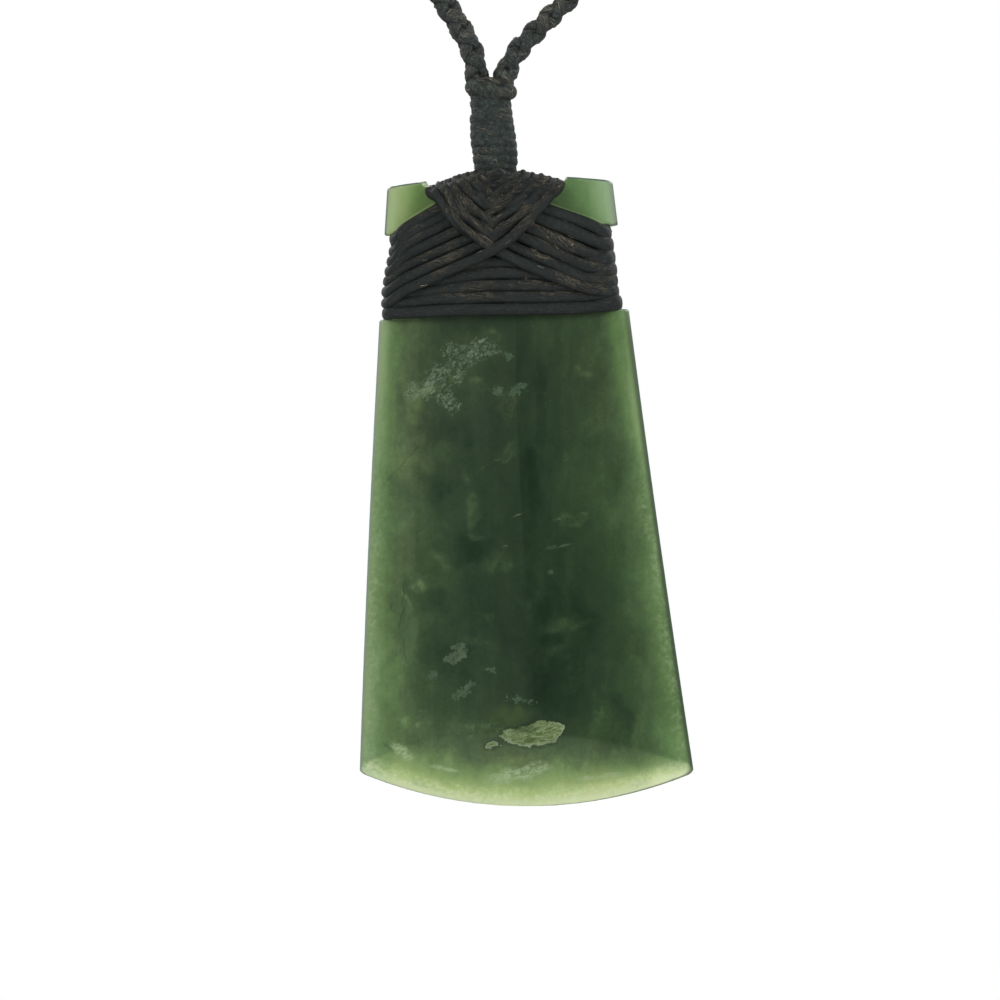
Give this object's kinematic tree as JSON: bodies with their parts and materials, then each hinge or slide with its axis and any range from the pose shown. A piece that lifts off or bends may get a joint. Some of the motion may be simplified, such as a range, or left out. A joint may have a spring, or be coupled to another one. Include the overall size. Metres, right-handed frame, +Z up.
{
  "type": "toki adze pendant on a braided cord necklace",
  "caption": "Greenstone adze-shaped pendant with a bevelled cutting edge, lashed with waxed thread to a round braided neck cord that is one whole loop.",
  "frame": {"origin": "where the cord rests on the nape, in the middle of the whipping that joins its two ends", "axes": "+Z up, the blade's face towards -Y, +X to the right of someone who looks at the face; the wearer's neck is in front of the origin, towards -Y"},
  "size_m": [0.1262, 0.1456, 0.2871],
  "materials": {
    "greenstone": "polished, translucent at the thin edges",
    "waxed_thread": "dark waxed twisted thread",
    "braided_cord": "dark waxed round braid"
  },
  "bodies": {
    "root": {"toki_blade": "greenstone", "shoulder_lashing": "waxed_thread", "saddle_lashing": "waxed_thread", "neck_whipping": "waxed_thread", "collar_knot": "waxed_thread", "braid_left": "braided_cord", "braid_right": "braided_cord", "nape_whipping": "waxed_thread"}
  },
  "joints": []
}
